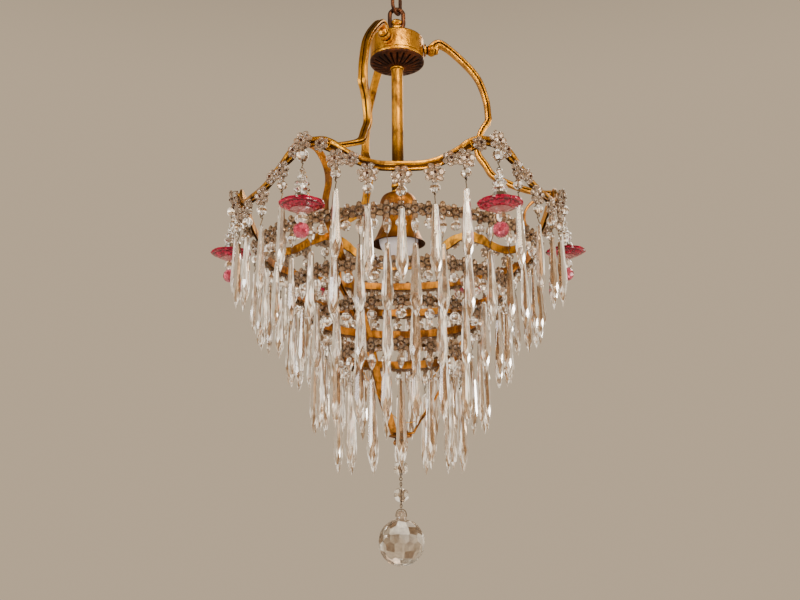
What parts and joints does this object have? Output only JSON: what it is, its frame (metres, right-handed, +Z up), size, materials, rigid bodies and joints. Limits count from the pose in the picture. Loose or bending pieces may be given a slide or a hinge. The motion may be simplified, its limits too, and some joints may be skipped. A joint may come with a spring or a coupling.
{
  "type": "basket chandelier",
  "caption": "Gilt basket chandelier: a wavy crown hoop on cast arms, smaller hoops below it, hung with spear prisms, pink pendants and a cut ball under a drum cap.",
  "frame": {"origin": "the inside top of the chain link, where the hook or the next link of the chain bears", "axes": "+Z up along the centre rod, -Y the side seen in the picture, +X its right"},
  "size_m": [0.438, 0.3862, 0.7003],
  "materials": {
    "gilt": "old yellow gilding over bronze, satin, worn to brown in the hollows",
    "dark_gilt": "darkened gilding, satin",
    "chain_bronze": "dark brown patina with bright rubbed spots",
    "wire": "tarnished pins and hooks",
    "clear_glass": "polished cut glass, clear and faintly warm",
    "rosette_glass": "moulded glass, clear to light amber",
    "pink_glass": "moulded raspberry pink glass",
    "porcelain": "white glaze",
    "bulb_glass": "frosted white"
  },
  "bodies": {
    "chain": {"chain_link": "chain_bronze"},
    "ring": {"hanging_ring": "chain_bronze"},
    "frame": {"cap_nipple": "gilt", "cap_drum": "gilt", "cap_dish": "dark_gilt", "centre_rod": "gilt", "lamp_cup": "gilt", "lamp_holder": "porcelain", "arm_1": "gilt", "arm_2": "gilt", "arm_3": "gilt", "crown_hoop": "gilt", "tier_2": "clear_glass", "tier_3": "clear_glass", "tier_4": "clear_glass", "tier_5": "clear_glass", "rib_1": "gilt", "rib_2": "gilt", "rib_3": "gilt", "bottom_finial": "gilt"},
    "bulb": {"bulb": "bulb_glass"},
    "crown_prism_1_1": {"crown_prism_1_1": "clear_glass"},
    "crown_prism_1_2": {"crown_prism_1_2": "clear_glass"},
    "crown_prism_1_3": {"crown_prism_1_3": "clear_glass"},
    "crown_prism_1_4": {"crown_prism_1_4": "clear_glass"},
    "crown_prism_1_5": {"crown_prism_1_5": "clear_glass"},
    "crown_prism_2_1": {"crown_prism_2_1": "clear_glass"},
    "crown_prism_2_2": {"crown_prism_2_2": "clear_glass"},
    "crown_prism_2_3": {"crown_prism_2_3": "clear_glass"},
    "crown_prism_2_4": {"crown_prism_2_4": "clear_glass"},
    "crown_prism_2_5": {"crown_prism_2_5": "clear_glass"},
    "crown_prism_3_1": {"crown_prism_3_1": "clear_glass"},
    "crown_prism_3_2": {"crown_prism_3_2": "clear_glass"},
    "crown_prism_3_3": {"crown_prism_3_3": "clear_glass"},
    "crown_prism_3_4": {"crown_prism_3_4": "clear_glass"},
    "crown_prism_3_5": {"crown_prism_3_5": "clear_glass"},
    "crown_prism_4_1": {"crown_prism_4_1": "clear_glass"},
    "crown_prism_4_2": {"crown_prism_4_2": "clear_glass"},
    "crown_prism_4_3": {"crown_prism_4_3": "clear_glass"},
    "crown_prism_4_4": {"crown_prism_4_4": "clear_glass"},
    "crown_prism_4_5": {"crown_prism_4_5": "clear_glass"},
    "crown_prism_5_1": {"crown_prism_5_1": "clear_glass"},
    "crown_prism_5_2": {"crown_prism_5_2": "clear_glass"},
    "crown_prism_5_3": {"crown_prism_5_3": "clear_glass"},
    "crown_prism_5_4": {"crown_prism_5_4": "clear_glass"},
    "crown_prism_5_5": {"crown_prism_5_5": "clear_glass"},
    "crown_prism_6_1": {"crown_prism_6_1": "clear_glass"},
    "crown_prism_6_2": {"crown_prism_6_2": "clear_glass"},
    "crown_prism_6_3": {"crown_prism_6_3": "clear_glass"},
    "crown_prism_6_4": {"crown_prism_6_4": "clear_glass"},
    "crown_prism_6_5": {"crown_prism_6_5": "clear_glass"},
    "pendant_1": {"pendant_1": "pink_glass"},
    "pendant_2": {"pendant_2": "pink_glass"},
    "pendant_3": {"pendant_3": "pink_glass"},
    "pendant_4": {"pendant_4": "pink_glass"},
    "pendant_5": {"pendant_5": "pink_glass"},
    "pendant_6": {"pendant_6": "pink_glass"},
    "upper_bead": {"upper_bead": "clear_glass"},
    "lower_bead": {"lower_bead": "clear_glass"},
    "crystal_ball": {"crystal_ball": "clear_glass"}
  },
  "joints": [
    {"name": "ring_swing", "type": "hinge", "parent": "chain", "child": "ring", "pos_m": [0, 0, -0.03125], "axis": [0.5, 0.866, 0], "range_deg": [-20, 20]},
    {"name": "frame_swing", "type": "hinge", "parent": "ring", "child": "frame", "pos_m": [0, 0, -0.05445], "axis": [1, 0, 0], "range_deg": [-20, 20]},
    {"name": "bulb_turn", "type": "hinge", "parent": "frame", "child": "bulb", "pos_m": [0, 0, -0.2985], "axis": [0, 0, 1], "range_deg": [0, 360]},
    {"name": "crown_swing_1_1", "type": "hinge", "parent": "frame", "child": "crown_prism_1_1", "pos_m": [0.18524, 0.03266, -0.31858], "axis": [0.1736, -0.9848, 0], "range_deg": [-8, 20]},
    {"name": "crown_swing_1_2", "type": "hinge", "parent": "frame", "child": "crown_prism_1_2", "pos_m": [0.17676, 0.06433, -0.33738], "axis": [0.342, -0.9397, 0], "range_deg": [-8, 20]},
    {"name": "crown_swing_1_3", "type": "hinge", "parent": "frame", "child": "crown_prism_1_3", "pos_m": [0.1629, 0.09405, -0.3413], "axis": [0.5, -0.866, 0], "range_deg": [-8, 20]},
    {"name": "crown_swing_1_4", "type": "hinge", "parent": "frame", "child": "crown_prism_1_4", "pos_m": [0.14409, 0.12091, -0.33738], "axis": [0.6428, -0.766, 0], "range_deg": [-8, 20]},
    {"name": "crown_swing_1_5", "type": "hinge", "parent": "frame", "child": "crown_prism_1_5", "pos_m": [0.12091, 0.14409, -0.31858], "axis": [0.766, -0.6428, 0], "range_deg": [-8, 20]},
    {"name": "crown_swing_2_1", "type": "hinge", "parent": "frame", "child": "crown_prism_2_1", "pos_m": [0.06433, 0.17676, -0.31858], "axis": [0.9397, -0.342, 0], "range_deg": [-8, 20]},
    {"name": "crown_swing_2_2", "type": "hinge", "parent": "frame", "child": "crown_prism_2_2", "pos_m": [0.03266, 0.18524, -0.33738], "axis": [0.9848, -0.1736, 0], "range_deg": [-8, 20]},
    {"name": "crown_swing_2_3", "type": "hinge", "parent": "frame", "child": "crown_prism_2_3", "pos_m": [0, 0.1881, -0.3413], "axis": [1, 0, 0], "range_deg": [-8, 20]},
    {"name": "crown_swing_2_4", "type": "hinge", "parent": "frame", "child": "crown_prism_2_4", "pos_m": [-0.03266, 0.18524, -0.33738], "axis": [0.9848, 0.1736, 0], "range_deg": [-8, 20]},
    {"name": "crown_swing_2_5", "type": "hinge", "parent": "frame", "child": "crown_prism_2_5", "pos_m": [-0.06433, 0.17676, -0.31858], "axis": [0.9397, 0.342, 0], "range_deg": [-8, 20]},
    {"name": "crown_swing_3_1", "type": "hinge", "parent": "frame", "child": "crown_prism_3_1", "pos_m": [-0.12091, 0.14409, -0.31858], "axis": [0.766, 0.6428, 0], "range_deg": [-8, 20]},
    {"name": "crown_swing_3_2", "type": "hinge", "parent": "frame", "child": "crown_prism_3_2", "pos_m": [-0.14409, 0.12091, -0.33738], "axis": [0.6428, 0.766, 0], "range_deg": [-8, 20]},
    {"name": "crown_swing_3_3", "type": "hinge", "parent": "frame", "child": "crown_prism_3_3", "pos_m": [-0.1629, 0.09405, -0.3413], "axis": [0.5, 0.866, 0], "range_deg": [-8, 20]},
    {"name": "crown_swing_3_4", "type": "hinge", "parent": "frame", "child": "crown_prism_3_4", "pos_m": [-0.17676, 0.06433, -0.33738], "axis": [0.342, 0.9397, 0], "range_deg": [-8, 20]},
    {"name": "crown_swing_3_5", "type": "hinge", "parent": "frame", "child": "crown_prism_3_5", "pos_m": [-0.18524, 0.03266, -0.31858], "axis": [0.1736, 0.9848, 0], "range_deg": [-8, 20]},
    {"name": "crown_swing_4_1", "type": "hinge", "parent": "frame", "child": "crown_prism_4_1", "pos_m": [-0.18524, -0.03266, -0.31858], "axis": [-0.1736, 0.9848, 0], "range_deg": [-8, 20]},
    {"name": "crown_swing_4_2", "type": "hinge", "parent": "frame", "child": "crown_prism_4_2", "pos_m": [-0.17676, -0.06433, -0.33738], "axis": [-0.342, 0.9397, 0], "range_deg": [-8, 20]},
    {"name": "crown_swing_4_3", "type": "hinge", "parent": "frame", "child": "crown_prism_4_3", "pos_m": [-0.1629, -0.09405, -0.3413], "axis": [-0.5, 0.866, 0], "range_deg": [-8, 20]},
    {"name": "crown_swing_4_4", "type": "hinge", "parent": "frame", "child": "crown_prism_4_4", "pos_m": [-0.14409, -0.12091, -0.33738], "axis": [-0.6428, 0.766, 0], "range_deg": [-8, 20]},
    {"name": "crown_swing_4_5", "type": "hinge", "parent": "frame", "child": "crown_prism_4_5", "pos_m": [-0.12091, -0.14409, -0.31858], "axis": [-0.766, 0.6428, 0], "range_deg": [-8, 20]},
    {"name": "crown_swing_5_1", "type": "hinge", "parent": "frame", "child": "crown_prism_5_1", "pos_m": [-0.06433, -0.17676, -0.31858], "axis": [-0.9397, 0.342, 0], "range_deg": [-8, 20]},
    {"name": "crown_swing_5_2", "type": "hinge", "parent": "frame", "child": "crown_prism_5_2", "pos_m": [-0.03266, -0.18524, -0.33738], "axis": [-0.9848, 0.1736, 0], "range_deg": [-8, 20]},
    {"name": "crown_swing_5_3", "type": "hinge", "parent": "frame", "child": "crown_prism_5_3", "pos_m": [0, -0.1881, -0.3413], "axis": [-1, 0, 0], "range_deg": [-8, 20]},
    {"name": "crown_swing_5_4", "type": "hinge", "parent": "frame", "child": "crown_prism_5_4", "pos_m": [0.03266, -0.18524, -0.33738], "axis": [-0.9848, -0.1736, 0], "range_deg": [-8, 20]},
    {"name": "crown_swing_5_5", "type": "hinge", "parent": "frame", "child": "crown_prism_5_5", "pos_m": [0.06433, -0.17676, -0.31858], "axis": [-0.9397, -0.342, 0], "range_deg": [-8, 20]},
    {"name": "crown_swing_6_1", "type": "hinge", "parent": "frame", "child": "crown_prism_6_1", "pos_m": [0.12091, -0.14409, -0.31858], "axis": [-0.766, -0.6428, 0], "range_deg": [-8, 20]},
    {"name": "crown_swing_6_2", "type": "hinge", "parent": "frame", "child": "crown_prism_6_2", "pos_m": [0.14409, -0.12091, -0.33738], "axis": [-0.6428, -0.766, 0], "range_deg": [-8, 20]},
    {"name": "crown_swing_6_3", "type": "hinge", "parent": "frame", "child": "crown_prism_6_3", "pos_m": [0.1629, -0.09405, -0.3413], "axis": [-0.5, -0.866, 0], "range_deg": [-8, 20]},
    {"name": "crown_swing_6_4", "type": "hinge", "parent": "frame", "child": "crown_prism_6_4", "pos_m": [0.17676, -0.06433, -0.33738], "axis": [-0.342, -0.9397, 0], "range_deg": [-8, 20]},
    {"name": "crown_swing_6_5", "type": "hinge", "parent": "frame", "child": "crown_prism_6_5", "pos_m": [0.18524, -0.03266, -0.31858], "axis": [-0.1736, -0.9848, 0], "range_deg": [-8, 20]},
    {"name": "pendant_swing_1", "type": "hinge", "parent": "frame", "child": "pendant_1", "pos_m": [0.196, 0, -0.2969], "axis": [0, -1, 0], "range_deg": [-6, 20]},
    {"name": "pendant_swing_2", "type": "hinge", "parent": "frame", "child": "pendant_2", "pos_m": [0.098, 0.16974, -0.2969], "axis": [0.866, -0.5, 0], "range_deg": [-6, 20]},
    {"name": "pendant_swing_3", "type": "hinge", "parent": "frame", "child": "pendant_3", "pos_m": [-0.098, 0.16974, -0.2969], "axis": [0.866, 0.5, 0], "range_deg": [-6, 20]},
    {"name": "pendant_swing_4", "type": "hinge", "parent": "frame", "child": "pendant_4", "pos_m": [-0.196, 0, -0.2969], "axis": [0, 1, 0], "range_deg": [-6, 20]},
    {"name": "pendant_swing_5", "type": "hinge", "parent": "frame", "child": "pendant_5", "pos_m": [-0.098, -0.16974, -0.2969], "axis": [-0.866, 0.5, 0], "range_deg": [-6, 20]},
    {"name": "pendant_swing_6", "type": "hinge", "parent": "frame", "child": "pendant_6", "pos_m": [0.098, -0.16974, -0.2969], "axis": [-0.866, -0.5, 0], "range_deg": [-6, 20]},
    {"name": "upper_bead_swing", "type": "hinge", "parent": "frame", "child": "upper_bead", "pos_m": [0, 0, -0.5771], "axis": [1, 0, 0], "range_deg": [-30, 30]},
    {"name": "lower_bead_swing", "type": "hinge", "parent": "upper_bead", "child": "lower_bead", "pos_m": [0, 0, -0.606], "axis": [0, 1, 0], "range_deg": [-30, 30]},
    {"name": "crystal_ball_swing", "type": "hinge", "parent": "lower_bead", "child": "crystal_ball", "pos_m": [0, 0, -0.6349], "axis": [1, 0, 0], "range_deg": [-30, 30]}
  ]
}
